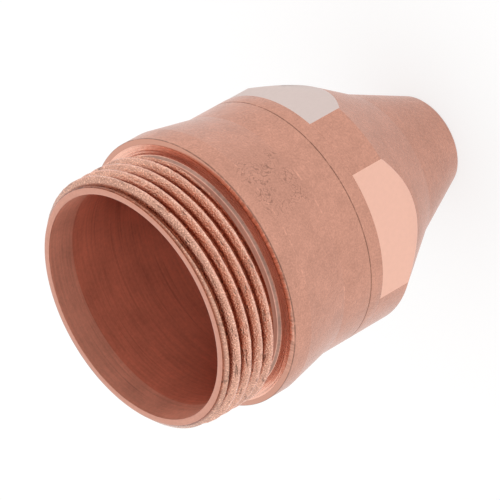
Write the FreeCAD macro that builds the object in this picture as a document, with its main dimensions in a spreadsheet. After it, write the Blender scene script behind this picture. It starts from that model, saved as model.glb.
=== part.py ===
"""Threaded copper nozzle of a plasma torch, turned in one piece.

The part stands on its tip. The origin is the centre of the tip's flat face, +Z runs along the
axis to the rim of the threaded end, and +X is square to one of the four spanner flats.
Lengths are in millimetres.
"""
import FreeCAD, Part
import Sketcher
import math
import os

NODE = "nozzle"

DIMENSIONS = [
    # name, value, what it measures
    ("overall_length", 41.8, "tip face to rim"),
    ("tip_dia", 10.6, "tip face, before its edge break"),
    ("tip_break", 0.3, "edge break round the tip face"),
    ("nose_dia", 17.7, "line where the nose cone meets the steeper cone"),
    ("nose_height", 8.0, "tip face to that line"),
    ("body_dia", 27.6, "plain body"),
    ("body_height", 15.75, "tip face to the foot of the plain body"),
    ("taper_depth", 16.5, "rim to the lower end of the taper"),
    ("land_depth", 10.7, "rim to the lower edge of the land"),
    ("land_dia", 29.9, "land below the shoulder"),
    ("shoulder_depth", 8.25, "rim to the shoulder face"),
    ("bevel_dia", 28.8, "inner edge of the shallow bevel round the shoulder"),
    ("bevel_depth", 8.4, "rim to the outer edge of that bevel"),
    ("relief_dia", 25.8, "bottom of the relief groove"),
    ("relief_depth", 6.9, "rim to the upper edge of the relief groove"),
    ("relief_slope", 0.4, "height of the relief groove's sloping upper side"),
    ("relief_corner", 0.3, "corner between relief groove and shoulder face"),
    ("thread_dia", 28.0, "major diameter of the thread"),
    ("thread_pitch", 1.5, "pitch: single start, right hand"),
    ("core_dia", 26.16, "across the roots of the thread"),
    ("root_width", 0.25, "flat at the root"),
    ("thread_start", 7.54, "rim to the middle of the thread's cut where it starts"),
    ("start_angle", 211.2, "degrees from +X to that place"),
    ("thread_travel", 8.3, "height that the thread's cut climbs, past the rim"),
    ("rim_dia", 26.4, "rim face, where the thread's 45 degree chamfer starts"),
    ("mouth_dia", 25.0, "bore at the rim"),
    ("lead_depth", 3.0, "rim to the end of the bore's tapered lead-in"),
    ("bore_dia", 24.5, "bore"),
    ("bore_depth", 17.0, "rim to the end of the cylindrical bore"),
    ("floor_dia", 6.0, "flat floor at the small end of the inner cone"),
    ("floor_height", 7.6, "tip face to that floor"),
    ("outlet_dia", 2.4, "outlet hole, from the floor to the tip face"),
    ("flat_distance", 11.9, "axis to a spanner flat"),
    ("flat_depth", 22.0, "rim to the ledge above the flats"),
    ("flat_foot", 10.0, "tip face to a height below the flats' run-out"),
    ("flat_count", 4, "number of spanner flats"),
    ("scribe_height", 21.47, "tip face to the scribed line"),
    ("scribe_width", 0.12, "width of the scribed line"),
    ("scribe_cut", 0.06, "depth of the scribed line"),
    ("clearance", 1.0, "how far a cutting profile reaches past the metal"),
]
THREAD_HALF_ANGLE = 30  # degrees, half of the 60 degree metric form
CUTTER_PROUD = 0.05  # how far the thread's cutting profile stands out of the crests

VERTICAL_AXIS = -2  # the sketch's own axes and origin, as Sketcher numbers them
HORIZONTAL_AXIS = -1
ORIGIN_POINT = (-1, 1)
START, END = 1, 2


def make_sheet(document):
    """The driving dimensions, one row each: name, value with its alias, and meaning."""
    sheet = document.addObject("Spreadsheet::Sheet", "dims")
    for row, (name, value, meaning) in enumerate(DIMENSIONS, start=1):
        sheet.set(f"A{row}", name)
        sheet.set(f"B{row}", str(value))
        sheet.setAlias(f"B{row}", name)
        sheet.set(f"C{row}", meaning)
    document.recompute()
    return sheet


def radius(name):
    """Expression for half of a diameter in the sheet."""
    return f"dims.{name} / 2"


def from_rim(name):
    """Expression for the height of a point that is dimensioned from the rim."""
    return f"dims.overall_length - dims.{name}"


def hold_point(sketch, line, direction, expression):
    """Fix one coordinate of a line's start point: to an axis, or to an expression."""
    if expression == "0":
        axis = VERTICAL_AXIS if direction == "DistanceX" else HORIZONTAL_AXIS
        sketch.addConstraint(Sketcher.Constraint("PointOnObject", line, START, axis))
        return
    size = float(sketch.evalExpression(expression))
    number = sketch.addConstraint(Sketcher.Constraint(direction, *ORIGIN_POINT, line, START, size))
    name = f"{direction}{line}"
    sketch.renameConstraint(number, name)
    sketch.setExpression(f"Constraints.{name}", expression)


def half_section(body, name, corners):
    """A closed outline on the XZ plane through corners of (radius, height) expressions."""
    plane = next(item for item in body.Origin.OriginFeatures if item.Role == "XZ_Plane")
    sketch = body.newObject("Sketcher::SketchObject", name)
    sketch.AttachmentSupport = [(plane, "")]
    sketch.MapMode = "FlatFace"
    points = [
        FreeCAD.Vector(float(sketch.evalExpression(r)), float(sketch.evalExpression(z)), 0)
        for r, z in corners
    ]
    lines = range(len(points))
    for line in lines:
        sketch.addGeometry(Part.LineSegment(points[line], points[(line + 1) % len(points)]))
    for line in lines:
        following = (line + 1) % len(points)
        sketch.addConstraint(Sketcher.Constraint("Coincident", line, END, following, START))
    for line, (corner_radius, corner_height) in enumerate(corners):
        hold_point(sketch, line, "DistanceX", corner_radius)
        hold_point(sketch, line, "DistanceY", corner_height)
    return sketch


def turn(body, feature_type, name, corners):
    """Add or cut a full turn of an outline about the part's axis."""
    sketch = half_section(body, name + "_section", corners)
    feature = body.newObject(feature_type, name)
    feature.Profile = sketch
    feature.ReferenceAxis = (sketch, ["V_Axis"])
    feature.Angle = 360
    body.Document.recompute()
    return feature


def turn_blank(body):
    """The outside, from the axis at the tip up to the rim."""
    turn(body, "PartDesign::Revolution", "blank", [
        ("0", "0"),
        (radius("tip_dia") + " - dims.tip_break", "0"),
        (radius("tip_dia"), "dims.tip_break"),
        (radius("nose_dia"), "dims.nose_height"),
        (radius("body_dia"), "dims.body_height"),
        (radius("body_dia"), from_rim("taper_depth")),
        (radius("land_dia"), from_rim("land_depth")),
        (radius("land_dia"), from_rim("bevel_depth")),
        (radius("bevel_dia"), from_rim("shoulder_depth")),
        (radius("thread_dia"), from_rim("shoulder_depth")),
        (radius("thread_dia"), "dims.overall_length - (dims.thread_dia - dims.rim_dia) / 2"),
        (radius("rim_dia"), "dims.overall_length"),
        ("0", "dims.overall_length"),
    ])


def bore_out(body):
    """The inside: lead-in, bore, inner cone with a flat floor, and outlet."""
    turn(body, "PartDesign::Groove", "bore", [
        ("0", "dims.overall_length"),
        (radius("mouth_dia"), "dims.overall_length"),
        (radius("bore_dia"), from_rim("lead_depth")),
        (radius("bore_dia"), from_rim("bore_depth")),
        (radius("floor_dia"), "dims.floor_height"),
        (radius("outlet_dia"), "dims.floor_height"),
        (radius("outlet_dia"), "0"),
        ("0", "0"),
    ])


def cut_relief(body):
    """The groove between thread and shoulder, where the thread's cut starts."""
    outside = radius("thread_dia") + " + dims.clearance"
    turn(body, "PartDesign::Groove", "relief", [
        (radius("relief_dia"), from_rim("relief_depth") + " - dims.relief_slope"),
        (radius("thread_dia"), from_rim("relief_depth")),
        (outside, from_rim("relief_depth")),
        (outside, from_rim("shoulder_depth")),
        (radius("relief_dia") + " + dims.relief_corner", from_rim("shoulder_depth")),
        (radius("relief_dia"), from_rim("shoulder_depth") + " + dims.relief_corner"),
    ])


def cut_thread(body):
    """The external thread: its groove climbs as a helix from the relief past the rim."""
    slope = math.tan(math.radians(THREAD_HALF_ANGLE))
    middle = from_rim("thread_start")
    outside = radius("thread_dia") + f" + {CUTTER_PROUD}"
    root = "dims.root_width / 2"
    widening = f"((dims.thread_dia - dims.core_dia) / 2 + {CUTTER_PROUD}) * {slope:.6f}"
    sketch = half_section(body, "thread_section", [
        (radius("core_dia"), f"{middle} - {root}"),
        (radius("core_dia"), f"{middle} + {root}"),
        (outside, f"{middle} + {root} + {widening}"),
        (outside, f"{middle} - {root} - {widening}"),
    ])
    upright = FreeCAD.Vector(0, 1, 0)
    turned = FreeCAD.Rotation(upright, float(sketch.evalExpression("dims.start_angle")))
    sketch.AttachmentOffset = FreeCAD.Placement(FreeCAD.Vector(), turned)
    sketch.setExpression("AttachmentOffset.Rotation.Angle", "dims.start_angle")
    thread = body.newObject("PartDesign::SubtractiveHelix", "thread")
    thread.Profile = sketch
    thread.ReferenceAxis = (sketch, ["V_Axis"])
    thread.Mode = "pitch-height-angle"
    thread.setExpression("Pitch", "dims.thread_pitch")
    thread.setExpression("Height", "dims.thread_travel")
    thread.LeftHanded = False
    thread.Reversed = False
    body.Document.recompute()
    return thread


def scribe_line(body):
    """The fine line turned into the plain body, a shallow V."""
    turn(body, "PartDesign::Groove", "scribed_line", [
        (radius("body_dia") + " - dims.scribe_cut", "dims.scribe_height"),
        (radius("body_dia") + " + dims.scribe_cut", "dims.scribe_height + dims.scribe_width"),
        (radius("body_dia") + " + dims.scribe_cut", "dims.scribe_height - dims.scribe_width"),
    ])


def mill_flats(body):
    """Four spanner flats, which run out over the cone below the plain body."""
    outside = radius("land_dia") + " + dims.clearance"
    sketch = half_section(body, "flat_section", [
        ("dims.flat_distance", "dims.flat_foot"),
        (outside, "dims.flat_foot"),
        (outside, from_rim("flat_depth")),
        ("dims.flat_distance", from_rim("flat_depth")),
    ])
    flat = body.newObject("PartDesign::Pocket", "flat")
    flat.Profile = sketch
    flat.Midplane = True
    flat.setExpression("Length", "dims.land_dia + dims.clearance")
    body.Document.recompute()
    flats = body.newObject("PartDesign::PolarPattern", "flats")
    flats.Originals = [flat]
    flats.Axis = (sketch, ["V_Axis"])
    flats.Angle = 360
    flats.setExpression("Occurrences", "dims.flat_count")
    body.Tip = flats
    body.Document.recompute()
    return flats


def check_objects(document):
    """Stop if any object of the document failed to build."""
    for item in document.Objects:
        faults = [state for state in item.State if state in ("Invalid", "Error")]
        if faults:
            raise RuntimeError(f"{item.Name} is {faults}")


def check_cut(body, name, before):
    """Stop if a cut took nothing away, and give the volume that is left."""
    volume = body.Shape.Volume
    print(f"{name}: {volume:.1f} mm3, {before - volume:.1f} mm3 cut")
    if not 0 < volume < before:
        raise RuntimeError(f"{name} cut nothing")
    return volume


def make_nozzle(document):
    """The nozzle: a turned blank, then one cut after another."""
    body = document.addObject("PartDesign::Body", NODE)
    body.Label = NODE
    body.Placement = FreeCAD.Placement()
    turn_blank(body)
    volume = body.Shape.Volume
    for step in (bore_out, cut_relief, cut_thread, scribe_line, mill_flats):
        step(body)
        volume = check_cut(body, step.__name__, volume)
    return body


def main():
    document = FreeCAD.newDocument("plasma_torch_nozzle")
    make_sheet(document)
    nozzle = make_nozzle(document)
    document.recompute()
    check_objects(document)
    shape = nozzle.Shape
    if shape.isNull() or not shape.isValid() or len(shape.Solids) != 1:
        raise RuntimeError("the nozzle is not one valid solid")
    os.makedirs("parts", exist_ok=True)
    shape.exportStep(f"parts/{NODE}.step")
    box = shape.optimalBoundingBox()
    print(f"{NODE}: {box.XLength:.2f} x {box.YLength:.2f} x {box.ZLength:.2f} mm")


main()
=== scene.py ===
"""Looks of the copper torch nozzle: its finely modelled skin, its finish, and a small studio."""
import math

import bmesh
import bpy
import numpy as np
from mathutils import Matrix, Vector


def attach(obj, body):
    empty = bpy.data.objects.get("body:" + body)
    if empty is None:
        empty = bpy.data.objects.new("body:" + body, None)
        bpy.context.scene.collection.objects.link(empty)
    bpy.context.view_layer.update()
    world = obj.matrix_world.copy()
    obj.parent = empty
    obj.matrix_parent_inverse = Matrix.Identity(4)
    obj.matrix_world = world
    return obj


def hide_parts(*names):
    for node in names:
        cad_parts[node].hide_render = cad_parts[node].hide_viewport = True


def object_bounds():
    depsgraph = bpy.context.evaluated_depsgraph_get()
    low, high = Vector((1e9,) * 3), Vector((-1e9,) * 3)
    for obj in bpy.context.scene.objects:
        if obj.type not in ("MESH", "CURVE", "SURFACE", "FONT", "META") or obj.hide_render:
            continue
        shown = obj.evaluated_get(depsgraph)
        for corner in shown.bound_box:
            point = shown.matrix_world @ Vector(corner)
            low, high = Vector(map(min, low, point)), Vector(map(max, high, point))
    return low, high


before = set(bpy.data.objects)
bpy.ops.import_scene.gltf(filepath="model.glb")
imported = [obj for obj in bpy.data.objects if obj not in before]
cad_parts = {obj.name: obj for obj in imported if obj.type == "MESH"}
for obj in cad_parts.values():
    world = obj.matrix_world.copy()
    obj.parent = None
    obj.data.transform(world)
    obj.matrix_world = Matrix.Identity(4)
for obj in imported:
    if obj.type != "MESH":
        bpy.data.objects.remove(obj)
cad_low, cad_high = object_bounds()

MM = 0.001
TURN = 2 * math.pi
LENGTH = (cad_high.z - cad_low.z) / MM  # tip face to rim; all sizes below are in millimetres

# ---- the turned section, heights from the tip face
TIP_R, TIP_BREAK = 5.3, 0.3
NOSE_R, NOSE_Z = 8.85, 8.0
BODY_R, BODY_Z = 13.8, 15.75
TAPER_Z = LENGTH - 16.5
LAND_R, LAND_Z = 14.95, LENGTH - 10.7
BEVEL_R, BEVEL_Z = 14.4, LENGTH - 8.4
SHOULDER_Z = LENGTH - 8.25
RELIEF_R, RELIEF_Z = 12.9, LENGTH - 6.9
RELIEF_SLOPE, RELIEF_CORNER = 0.4, 0.3
RIM_R, MOUTH_R = 13.2, 12.5
BORE_R, LEAD_Z, BORE_Z = 12.25, LENGTH - 3.0, LENGTH - 17.0
FLOOR_R, FLOOR_Z = 3.0, 7.6
OUTLET_R = 1.2
SCRIBE_Z, SCRIBE_HALF, SCRIBE_CUT = 21.47, 0.06, 0.06

# ---- the thread
PITCH, CREST_R, ROOT_R = 1.5, 14.0, 13.08
CREST_HALF, ROOT_HALF = 0.094, 0.125
CREST_AT_X = LENGTH - 0.17  # height of a crest's middle over +X; it climbs with the angle

# Knocks on the thread: angle, height, half-width in degrees, half-height, how deep the crest is cut.
BRUISES = [
    (82.0, LENGTH - 1.9, 9.0, 0.9, 0.16),
    (56.5, LENGTH - 1.6, 1.5, 0.4, 0.30),
    (40.5, LENGTH - 0.8, 3.5, 0.5, 0.20),
    (18.0, LENGTH - 2.2, 2.0, 0.4, 0.15),
    (-22.0, LENGTH - 4.6, 1.5, 0.4, 0.20),
    (150.0, LENGTH - 3.4, 2.5, 0.5, 0.20),
    (232.0, LENGTH - 1.5, 4.0, 0.5, 0.15),
]

# ---- the spanner flats
FLAT_R, LEDGE_Z = 11.9, LENGTH - 22.0
FLAT_COUNT = 4

# ---- the mesh
COLUMNS_PER_QUARTER = 140
ROWS_PER_PITCH = 11
EASE = 0.06  # how far from a corner its small rounding starts
ZONES = ("bored", "rim", "thread", "shoulder", "bevel", "turned", "milled")

# ---- the camera, which looks down on the nozzle and is rolled on its side
VIEW_AIM = (-1.59, -1.83, 24.39)
VIEW_DISTANCE = 561.17
VIEW_BEARING, VIEW_HEIGHT, VIEW_ROLL = 28.129, 33.755, 119.766  # degrees
VIEW_LENS = 392.14

# ---- the floor
FLOOR_REACH = 3.0  # metres from the middle to an edge
FLOOR_GREY, FLOOR_GLOW = 0.30, 0.73


# ------------------------------------------------------------------ shape

def eased(corners):
    """Rows (radius, height, zone) along an open outline, with its inner corners rounded.

    Each corner is (radius, height, zone of the stretch that follows it).
    """
    rows = [corners[0]]
    for before, here, after in zip(corners, corners[1:], corners[2:]):
        middle = np.array(here[:2], float)
        back, on = np.array(before[:2]) - middle, np.array(after[:2]) - middle
        reach = min(EASE, 0.3 * np.linalg.norm(back), 0.3 * np.linalg.norm(on))
        start = middle + back / np.linalg.norm(back) * reach
        end = middle + on / np.linalg.norm(on) * reach
        for t in (0.0, 0.5, 1.0):
            point = (1 - t) ** 2 * start + 2 * t * (1 - t) * middle + t * t * end
            rows.append((point[0], point[1], here[2]))
    rows.append(corners[-1])
    return rows


def column_angles():
    """Angles of the mesh columns: even, with one on each upright edge of the flats."""
    edge = math.acos(FLAT_R / BODY_R)
    quarter = TURN / FLAT_COUNT
    on_flat = round(COLUMNS_PER_QUARTER * 2 * edge / quarter)
    flat = np.linspace(-edge, edge, on_flat, endpoint=False)
    between = np.linspace(edge, quarter - edge, COLUMNS_PER_QUARTER - on_flat, endpoint=False)
    one = np.concatenate([flat, between])
    return np.concatenate([one + k * quarter for k in range(FLAT_COUNT)])


def ragged(angles, per_turn, seed):
    """Noise round the turn, from -1 to 1, with that many random values in a turn."""
    values = np.random.default_rng(seed).uniform(-1, 1, per_turn)
    return np.interp(angles, np.arange(per_turn) * TURN / per_turn, values, period=TURN)


def near(angles, centre, half_width):
    """1 at an angle in degrees, and smoothly 0 that many degrees away from it."""
    away = (np.degrees(angles) - centre + 180) % 360 - 180
    return np.exp(-(away / half_width) ** 2)


def inside_rows():
    """From the outlet's edge at the tip, up the inside, to the rim."""
    return eased([
        (OUTLET_R, 0.0, "bored"),
        (OUTLET_R, FLOOR_Z, "bored"),
        (FLOOR_R, FLOOR_Z, "bored"),
        (BORE_R, BORE_Z, "bored"),
        (BORE_R, LEAD_Z, "bored"),
        (MOUTH_R, LENGTH, "rim"),
        (RIM_R - EASE, LENGTH, "rim"),
    ])


def thread_rows(angles):
    """The thread's rows, from the rim down to the relief groove.

    Each row follows the helix. Above the rim and below the relief's edge the rows close up.
    """
    flank = PITCH / 2 - CREST_HALF - ROOT_HALF
    tooth = [(-PITCH / 2 + ROOT_HALF, ROOT_R)]
    tooth += [(-CREST_HALF - flank * t, CREST_R + (ROOT_R - CREST_R) * t) for t in (0.75, 0.4, 0.08)]
    tooth += [(-CREST_HALF * 0.8, CREST_R - 0.01), (0.0, CREST_R), (CREST_HALF * 0.8, CREST_R - 0.01)]
    tooth += [(CREST_HALF + flank * t, CREST_R + (ROOT_R - CREST_R) * t) for t in (0.08, 0.4, 0.75)]
    tooth += [(PITCH / 2 - ROOT_HALF, ROOT_R)]
    assert len(tooth) == ROWS_PER_PITCH
    climb = PITCH * angles / TURN
    turns = int((LENGTH - RELIEF_Z) / PITCH) + 3
    low, high = RELIEF_Z - RELIEF_SLOPE, LENGTH - EASE / 2
    rows = []
    for turn in range(-1, turns):
        for step, (offset, tooth_radius) in enumerate(reversed(tooth)):
            height = CREST_AT_X + climb - PITCH * turn + offset
            worn = tooth_radius + crest_wear(angles, height, tooth_radius, turn * len(tooth) + step)
            chamfer = RIM_R + (high - height)
            relief = RELIEF_R + (height - low) * (CREST_R - RELIEF_R) / RELIEF_SLOPE
            radius = np.minimum(np.minimum(worn, chamfer), relief)
            radius = np.where(height > high, RIM_R, radius)
            radius = np.where(height < low, RELIEF_R, radius)
            rows.append((radius, np.clip(height, low, high), "thread"))
    return rows


def crest_wear(angles, height, tooth_radius, seed):
    """How far a row of the thread stands out: fine burrs along the crests, less where knocked."""
    top = (tooth_radius - ROOT_R) / (CREST_R - ROOT_R)
    fine = 0.010 * ragged(angles, 420, 100 + seed)
    burr = 0.03 * top ** 4 * ragged(angles, 160, 300 + seed)
    wear = fine + burr
    for angle, middle, half_width, half_height, depth in BRUISES:
        knock = depth * near(angles, angle, half_width) * np.exp(-((height - middle) / half_height) ** 2)
        wear = np.minimum(wear, CREST_R - knock - tooth_radius + fine)
    return wear


def shoulder_rows():
    """Relief groove, shoulder, land, taper and plain body, down to the ledge."""
    return eased([
        (RELIEF_R, RELIEF_Z - RELIEF_SLOPE - 0.1, "shoulder"),
        (RELIEF_R, SHOULDER_Z + RELIEF_CORNER, "shoulder"),
        (RELIEF_R + RELIEF_CORNER, SHOULDER_Z, "shoulder"),
        (BEVEL_R, SHOULDER_Z, "bevel"),
        (LAND_R, BEVEL_Z, "turned"),
        (LAND_R, LAND_Z, "turned"),
        (BODY_R, TAPER_Z, "turned"),
        (BODY_R, SCRIBE_Z + SCRIBE_HALF, "turned"),
        (BODY_R - SCRIBE_CUT, SCRIBE_Z, "turned"),
        (BODY_R, SCRIBE_Z - SCRIBE_HALF, "turned"),
        (BODY_R, LEDGE_Z + 0.05, "turned"),
    ])


def flat_rows(angles):
    """From the ledge's upper edge down over body, flats and cone to the nose line."""
    quarter = TURN / FLAT_COUNT
    from_normal = (angles + quarter / 2) % quarter - quarter / 2
    flat = np.minimum(FLAT_R / np.cos(from_normal), BODY_R)
    slope = (BODY_Z - NOSE_Z) / (BODY_R - NOSE_R)
    run_out = NOSE_Z + (flat - NOSE_R) * slope
    level = np.zeros_like(angles)
    rows = [(level + BODY_R - 0.01, level + LEDGE_Z + 0.01)]
    rows += [(BODY_R + (flat - BODY_R) * t, level + LEDGE_Z) for t in (0.05, 0.95)]
    rows += [(flat, LEDGE_Z + (BODY_Z - LEDGE_Z) * t + level) for t in (0.02, 0.3, 0.6, 0.97)]
    rows += [(flat, BODY_Z + (run_out - BODY_Z) * t) for t in (0.0, 0.5, 0.98)]
    rows = [(radius, height, "milled") for radius, height in rows]
    for t in (0.02, 0.3, 0.6, 0.97):
        rows.append((flat + (NOSE_R - flat) * t, run_out + (NOSE_Z - run_out) * t, "turned"))
    return rows


def nose_rows():
    """Nose cone and tip face, in to the outlet's edge."""
    return eased([
        (NOSE_R, NOSE_Z, "turned"),
        (TIP_R, TIP_BREAK, "turned"),
        (TIP_R - TIP_BREAK, 0.0, "turned"),
        (OUTLET_R + 0.05, 0.0, "turned"),
    ])


def on_a_flat(angles):
    """Whether the mesh face after each column lies on a flat."""
    quarter = TURN / FLAT_COUNT
    middle = angles + TURN / (2 * FLAT_COUNT * COLUMNS_PER_QUARTER)
    from_normal = (middle + quarter / 2) % quarter - quarter / 2
    return np.abs(from_normal) < math.acos(FLAT_R / BODY_R)


def build_nozzle(finishes):
    """The whole skin: rows of points round the axis, closed from the outlet to the tip face."""
    angles = column_angles()
    rows = inside_rows() + thread_rows(angles) + shoulder_rows() + flat_rows(angles) + nose_rows()
    level = np.zeros_like(angles)
    radius = np.array([r + level for r, z, zone in rows])
    height = np.array([z + level for r, z, zone in rows])
    points = np.stack([radius * np.cos(angles), radius * np.sin(angles), height], -1) * MM
    index = np.arange(radius.size).reshape(radius.shape)
    right = np.roll(index, -1, axis=1)
    first = len(inside_rows())
    last = first + len(thread_rows(angles))
    right[first:last, -1] = index[np.maximum(np.arange(first, last) - ROWS_PER_PITCH, first), 0]
    after, after_right = np.roll(index, -1, axis=0), np.roll(right, -1, axis=0)
    faces = np.stack([index, after, after_right, right], -1).reshape(-1, 4)
    zone = np.array([ZONES.index(zone) for r, z, zone in rows])[:, None] + np.zeros(len(angles), int)
    off_flat = (zone == ZONES.index("milled")) & ~on_a_flat(angles)
    zone[off_flat] = ZONES.index("turned")
    mesh = bpy.data.meshes.new("nozzle_skin")
    mesh.from_pydata(points.reshape(-1, 3).tolist(), [], faces.tolist())
    for name in ZONES:
        mesh.materials.append(finishes[name])
    mesh.polygons.foreach_set("material_index", zone.ravel().astype(np.int32))
    close_rows(mesh)
    mesh.shade_smooth()
    mesh.set_sharp_from_angle(angle=math.radians(28))
    piece = bpy.data.objects.new("nozzle_skin", mesh)
    bpy.context.scene.collection.objects.link(piece)
    weigh_normals(piece)
    return piece


def close_rows(mesh):
    """Join the points that fall together where rows close up."""
    work = bmesh.new()
    work.from_mesh(mesh)
    bmesh.ops.remove_doubles(work, verts=work.verts, dist=0.0005 * MM)
    bmesh.ops.dissolve_degenerate(work, edges=work.edges, dist=0.0005 * MM)
    work.to_mesh(mesh)
    work.free()


def weigh_normals(piece):
    """Keep broad faces flat to the eye beside their small roundings."""
    weighted = piece.modifiers.new("weighted", "WEIGHTED_NORMAL")
    weighted.keep_sharp = True
    weighted.weight = 100
    view_layer = bpy.context.evaluated_depsgraph_get()
    finished = bpy.data.meshes.new_from_object(piece.evaluated_get(view_layer))
    piece.modifiers.remove(weighted)
    piece.data = finished


# ------------------------------------------------------------------ finish

class Graph:
    """A node tree, with short calls to add a node and to feed its inputs."""

    def __init__(self, owner):
        owner.use_nodes = True
        self.tree = owner.node_tree
        self.tree.nodes.clear()

    def node(self, kind, inputs=None, **settings):
        node = self.tree.nodes.new(kind)
        for name, value in settings.items():
            setattr(node, name, value)
        for name, value in (inputs or {}).items():
            if isinstance(value, bpy.types.NodeSocket):
                self.tree.links.new(value, node.inputs[name])
            else:
                node.inputs[name].default_value = value
        return node

    def math(self, operation, *values, clamp=False):
        node = self.node("ShaderNodeMath", dict(enumerate(values)), operation=operation, use_clamp=clamp)
        return node.outputs[0]

    def blend(self, share, start, end):
        return self.node("ShaderNodeMix", {"Factor": share, 2: start, 3: end}).outputs[0]

    def fade(self, share, start, end):
        """From one colour to another."""
        return self.node("ShaderNodeMix", {0: share, 6: start, 7: end}, data_type="RGBA").outputs[2]

    def smooth(self, value, low, high):
        """0 up to low, 1 from high on, and smoothly between them."""
        node = self.node("ShaderNodeMapRange", {
            "Value": value, "From Min": low, "From Max": high}, interpolation_type="SMOOTHSTEP")
        return node.outputs[0]


class Finish(Graph):
    """A copper finish: a node material that works in the nozzle's own millimetres."""

    def __init__(self, name):
        self.material = bpy.data.materials.new(name)
        super().__init__(self.material)
        coordinates = self.node("ShaderNodeTexCoord").outputs["Object"]
        scaled = self.node("ShaderNodeVectorMath", {0: coordinates, "Scale": 1 / MM}, operation="SCALE")
        self.place = scaled.outputs[0]
        axes = self.node("ShaderNodeSeparateXYZ", {0: self.place}).outputs
        self.x, self.y, self.z = axes
        squares = self.math(
            "ADD", self.math("MULTIPLY", self.x, self.x), self.math("MULTIPLY", self.y, self.y))
        self.radius = self.math("SQRT", squares)
        self.angle = self.math("ARCTAN2", self.y, self.x)

    def noise(self, vector, scale, detail=2.0, distortion=0.0):
        """Noise about zero, roughly from -1 to 1."""
        texture = self.node("ShaderNodeTexNoise", {
            "Vector": vector, "Scale": scale, "Detail": detail, "Distortion": distortion})
        return self.math("MULTIPLY_ADD", texture.outputs[0], 4.0, -2.0)

    def along_turn(self, across, along):
        """Coordinates that change fast across the turning marks and slowly along them."""
        run = self.math("MULTIPLY", self.math("ADD", self.z, self.radius), across)
        round_x = self.math("MULTIPLY", self.math("DIVIDE", self.x, self.radius), along)
        round_y = self.math("MULTIPLY", self.math("DIVIDE", self.y, self.radius), along)
        return self.node("ShaderNodeCombineXYZ", {0: round_x, 1: round_y, 2: run}).outputs[0]

    def window(self, value, low, high, soft):
        """1 between low and high, fading to 0 over the soft distance outside them."""
        rise = self.math("DIVIDE", self.math("SUBTRACT", value, low - soft), soft, clamp=True)
        fall = self.math("DIVIDE", self.math("SUBTRACT", high + soft, value), soft, clamp=True)
        return self.math("MULTIPLY", rise, fall)

    def curls(self, scale, width):
        """Short worm-like ridges: 1 along their tops, 0 beside them."""
        winding = self.noise(self.place, scale, detail=1.0, distortion=1.2)
        beside = self.math("ABSOLUTE", winding)
        return self.math("SUBTRACT", 1.0, self.smooth(beside, 0.0, width))

    def worn_and_lit_edges(self, *heights):
        """1 in short dashes along the edges at those heights: wear, and a painted highlight where an
        edge catches light.
        """
        dashes = self.smooth(self.noise(self.along_turn(2.0, 14.0), 1.0, detail=2.0), 0.1, 0.6)
        bands = self.total(*(
            (self.window(self.z, height - 0.04, height + 0.04, 0.06), 1.0) for height in heights))
        return self.math("MULTIPLY", dashes, bands)

    def shade_lines(self, *heights):
        """1 along thin uneven lines round the part at those heights, where shade is painted."""
        uneven = self.smooth(self.noise(self.along_turn(2.0, 20.0), 1.0, detail=1.0), -1.4, 0.0)
        bands = self.total(*(
            (self.window(self.z, height - 0.05, height + 0.05, 0.03), 1.0) for height in heights))
        return self.math("MULTIPLY", uneven, bands)

    def total(self, *shares):
        """The sum of (value, weight) pairs."""
        running = 0.0
        for value, weight in shares:
            running = self.math("MULTIPLY_ADD", value, weight, running)
        return running

    def tint(self, colour, shade):
        """The colour, lighter or darker by the shade: 0 leaves it as it is."""
        amount = self.math("ADD", shade, 1.0)
        scaled = self.node("ShaderNodeVectorMath", {0: colour, "Scale": amount}, operation="SCALE")
        return scaled.outputs[0]

    def shine(self, colour, roughness, anisotropic, height):
        """The metal itself. Marks run round the axis, so gloss spreads along the axis."""
        bump = self.node("ShaderNodeBump", {"Strength": 1.0, "Distance": MM, "Height": height})
        tangent = self.node("ShaderNodeTangent", direction_type="RADIAL", axis="Z")
        metal = self.node("ShaderNodeBsdfPrincipled", {
            "Base Color": colour, "Metallic": 1.0, "Roughness": roughness,
            "Anisotropic": anisotropic, "Anisotropic Rotation": 0.25,
            "Normal": bump.outputs[0], "Tangent": tangent.outputs[0]})
        self.node("ShaderNodeOutputMaterial", {"Surface": metal.outputs[0]})


COPPER = (0.60, 0.30, 0.22)


def bored_copper():
    """The inside: clear turning lines, greyer in the mouth's lead-in."""
    finish = Finish("copper_bored")
    lead = finish.smooth(finish.z, LEAD_Z - 0.05, LEAD_Z + 0.05)
    lines = finish.noise(finish.along_turn(3.5, 2.0), 1.0, detail=4.0)
    scores = finish.noise(finish.along_turn(2.2, 0.7), 1.0, detail=2.0)
    scores = finish.smooth(scores, 0.35, 0.8)
    grain = finish.noise(finish.place, 3.0, detail=3.0)
    patches = finish.noise(finish.place, 0.25, detail=2.0)
    height = finish.total((lines, 0.006), (grain, 0.005), (scores, -0.008))
    tone = finish.total((lines, 0.10), (grain, 0.07), (patches, 0.12), (scores, -0.12))
    colour = finish.fade(lead, (0.68, 0.215, 0.135, 1.0), (0.70, 0.29, 0.20, 1.0))
    finish.shine(finish.tint(colour, tone), 0.54, 0.95, height)
    return finish.material


def rim_copper():
    """The rim: fine lines of the facing cut, with small knocks."""
    finish = Finish("copper_rim")
    lines = finish.noise(finish.along_turn(6.0, 4.0), 1.0, detail=3.0)
    grain = finish.noise(finish.place, 3.0, detail=3.0)
    height = finish.total((lines, 0.005), (grain, 0.006))
    tone = finish.total((lines, 0.05), (grain, 0.06))
    finish.shine(finish.tint((0.65, 0.32, 0.24), tone), 0.28, 0.5, height)
    return finish.material


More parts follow.
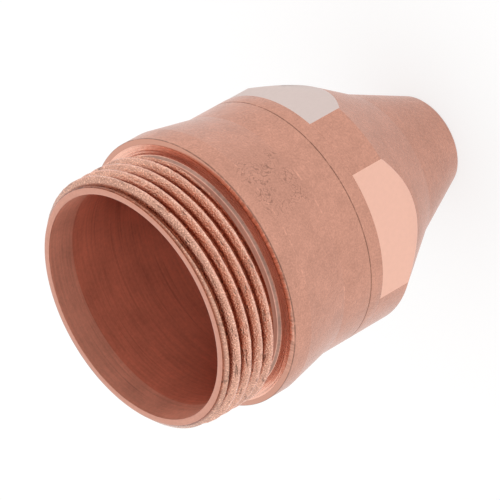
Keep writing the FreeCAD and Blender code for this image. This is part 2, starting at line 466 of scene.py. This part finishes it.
def threaded_copper():
    """The thread: torn flanks that glint from their bumps and from painted glints, roots painted darker
    as shade, and crests painted paler as a highlight. The same all round.
    """
    finish = Finish("copper_thread")
    streaks = finish.noise(finish.along_turn(6.0, 9.0), 1.0, detail=4.0)
    tears = finish.smooth(finish.noise(finish.along_turn(7.0, 7.0), 1.0, detail=2.0), 0.5, 0.8)
    sparks = finish.noise(finish.place, 6.0, detail=3.0)
    flank = finish.smooth(finish.radius, ROOT_R + 0.14, ROOT_R + 0.42)
    crest = finish.smooth(finish.radius, CREST_R - 0.12, CREST_R - 0.04)
    first = finish.window(finish.z, LENGTH - 1.2, LENGTH - 0.1, 0.2)
    # Bright specks in the colour: painted glints.
    glints = finish.smooth(sparks, 0.2, 0.8)
    height = finish.total((streaks, 0.016), (sparks, 0.020), (tears, -0.03))
    tone = finish.total((streaks, 0.16), (sparks, 0.26), (glints, 0.45), (tears, -0.4), (first, -0.12))
    # Roots painted dark as shade in the thread's grooves; crests painted paler as a highlight.
    colour = finish.fade(flank, (0.30, 0.085, 0.045, 1.0), (0.70, 0.38, 0.28, 1.0))
    colour = finish.fade(crest, colour, (0.82, 0.45, 0.35, 1.0))
    finish.shine(finish.tint(colour, tone), 0.18, 0.3, height)
    return finish.material


def grooved_copper():
    """The relief groove, a little duller and darker, and the shoulder's face, painted brighter as a
    highlight.
    """
    finish = Finish("copper_shoulder")
    lines = finish.noise(finish.along_turn(7.0, 2.5), 1.0, detail=3.0)
    grain = finish.noise(finish.place, 3.0, detail=2.0)
    dulled = finish.smooth(finish.z, SHOULDER_Z + 0.25, SHOULDER_Z + 0.4)
    height = finish.total((lines, 0.008), (grain, 0.004))
    # The relief's rounded corner is painted darker: painted shade over a highlight it would catch.
    corner = finish.window(finish.radius, RELIEF_R + 0.06, RELIEF_R + RELIEF_CORNER - 0.06, 0.05)
    tone = finish.total((lines, 0.16), (grain, 0.06), (corner, -0.55))
    # The shoulder's face is painted bright: a painted highlight.
    colour = finish.fade(dulled, (0.95, 0.54, 0.42, 1.0), (0.50, 0.265, 0.205, 1.0))
    roughness = finish.blend(dulled, 0.24, 0.48)
    finish.shine(finish.tint(colour, tone), roughness, 0.8, height)
    return finish.material


def bevelled_copper():
    """The bevel at the top of the land, with the ticks of a tool that chattered on one side."""
    finish = Finish("copper_bevel")
    side = finish.window(finish.angle, math.radians(-30), math.radians(50), 0.2)
    ticks = finish.noise(finish.along_turn(1.0, 40.0), 1.0, detail=1.0)
    ticks = finish.math("MULTIPLY", ticks, side)
    height = finish.total((ticks, 0.02))
    tone = finish.total((ticks, 0.3))
    finish.shine(finish.tint((0.64, 0.325, 0.24), tone), 0.20, 0.3, height)
    return finish.material


def turned_copper():
    """The outside: faint turning lines under handling marks, small curls, pits and stains, dashes of
    wear and painted highlight on two edges, and two thin lines of painted shade.
    """
    finish = Finish("copper_turned")
    lines = finish.noise(finish.along_turn(8.0, 3.0), 1.0, detail=3.0)
    waves = finish.noise(finish.place, 0.9, detail=2.0, distortion=0.5)
    grain = finish.noise(finish.place, 5.0, detail=3.0)
    curls = finish.curls(1.3, 0.35)
    patches = finish.noise(finish.place, 0.35, detail=3.0, distortion=0.6)
    pitted = finish.math(
        "MULTIPLY", finish.window(finish.z, TAPER_Z + 0.5, LAND_Z + 0.3, 1.2),
        finish.window(finish.angle, math.radians(34), math.radians(56), 0.15))
    cracks = finish.math("MULTIPLY", finish.curls(1.3, 0.2), finish.smooth(patches, -0.6, 0.3))
    cracks = finish.math("MULTIPLY", cracks, pitted)
    # Lighter dashes on the land's and taper's edges: wear and painted highlight.
    edges = finish.worn_and_lit_edges(LAND_Z, TAPER_Z)
    # Dark lines on the land under the bevel and in the scribe groove: painted shade.
    seam_shade = finish.shade_lines(BEVEL_Z - 0.05, SCRIBE_Z)
    height = finish.total(
        (lines, 0.002), (waves, 0.010), (grain, 0.005), (curls, 0.006), (cracks, -0.015))
    tone = finish.total(
        (patches, 0.08), (grain, 0.11), (curls, 0.09), (lines, 0.03), (cracks, -0.5), (edges, 0.25),
        (seam_shade, -0.5))
    finish.shine(finish.tint(COPPER, tone), 0.25, 0.9, height)
    return finish.material


def milled_copper():
    """The spanner flats: nearly smooth and paler.

    The +Y one is painted greyer: a painted reflection, set as its colour. That may be only what it
    mirrors, but here it is its colour.
    """
    finish = Finish("copper_milled")
    grain = finish.noise(finish.place, 2.0, detail=3.0)
    height = finish.total((grain, 0.001))
    tone = finish.total((grain, 0.02))
    # The +Y flat is painted greyer: a painted reflection.
    painted_reflection_grey = finish.smooth(finish.y, FLAT_R - 1.5, FLAT_R - 1.0)
    colour = finish.fade(painted_reflection_grey, (0.92, 0.545, 0.43, 1.0), (0.70, 0.57, 0.53, 1.0))
    finish.shine(finish.tint(colour, tone), 0.30, 0.0, height)
    return finish.material


def make_finishes():
    return {
        "bored": bored_copper(),
        "rim": rim_copper(),
        "thread": threaded_copper(),
        "shoulder": grooved_copper(),
        "bevel": bevelled_copper(),
        "turned": turned_copper(),
        "milled": milled_copper(),
    }


# ------------------------------------------------------------------ studio

def light_world():
    """Soft light from all round, at the level where a colour shows as it is written."""
    world = bpy.data.worlds.new("studio")
    bpy.context.scene.world = world
    world.cycles.sampling_method = "NONE"
    graph = Graph(world)
    lit = graph.node("ShaderNodeBackground", {"Color": (1.0, 1.0, 1.0, 1.0)})
    graph.node("ShaderNodeOutputWorld", {"Surface": lit.outputs[0]})


def lay_floor():
    """A broad pale floor under the tip, with the nozzle's soft shadow on it.

    Its glow brings it up to white for the eye, and for the metal, which mirrors it.
    """
    mesh = bpy.data.meshes.new("floor")
    corners = [
        (-FLOOR_REACH, -FLOOR_REACH, 0), (FLOOR_REACH, -FLOOR_REACH, 0),
        (FLOOR_REACH, FLOOR_REACH, 0), (-FLOOR_REACH, FLOOR_REACH, 0)]
    mesh.from_pydata(corners, [], [(0, 1, 2, 3)])
    floor = bpy.data.objects.new("floor", mesh)
    bpy.context.scene.collection.objects.link(floor)
    material = bpy.data.materials.new("floor_white")
    graph = Graph(material)
    matt = graph.node("ShaderNodeBsdfDiffuse", {"Color": (FLOOR_GREY, FLOOR_GREY, FLOOR_GREY, 1)})
    path = graph.node("ShaderNodeLightPath")
    seen = graph.math("ADD", path.outputs["Is Camera Ray"], path.outputs["Is Glossy Ray"])
    glow = graph.node("ShaderNodeEmission", {"Strength": graph.math("MULTIPLY", seen, FLOOR_GLOW)})
    both = graph.node("ShaderNodeAddShader", {0: matt.outputs[0], 1: glow.outputs[0]})
    graph.node("ShaderNodeOutputMaterial", {"Surface": both.outputs[0]})
    mesh.materials.append(material)


def place_camera():
    """The camera: from above and beside the rim, rolled so that the axis runs across the frame."""
    bearing, height, roll = (math.radians(a) for a in (VIEW_BEARING, VIEW_HEIGHT, VIEW_ROLL))
    out = Vector((
        math.cos(height) * math.cos(bearing),
        math.cos(height) * math.sin(bearing),
        math.sin(height)))
    level_up = (Vector((0, 0, 1)) - out * out.z).normalized()
    level_right = (-out).cross(level_up)
    up = math.cos(roll) * level_up + math.sin(roll) * level_right
    right = (-out).cross(up)
    lens = bpy.data.cameras.new("camera")
    lens.lens = VIEW_LENS
    lens.clip_start, lens.clip_end = 0.01, 20
    camera = bpy.data.objects.new("camera", lens)
    turned = Matrix((right, up, out)).transposed().to_4x4()
    camera.matrix_world = Matrix.Translation((Vector(VIEW_AIM) + out * VIEW_DISTANCE) * MM) @ turned
    bpy.context.scene.collection.objects.link(camera)
    bpy.context.scene.camera = camera


# ------------------------------------------------------------------ scene

place_camera()
light_world()
lay_floor()

nozzle = build_nozzle(make_finishes())
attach(nozzle, "root")
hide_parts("nozzle")

bpy.context.scene.view_settings.view_transform = "Standard"
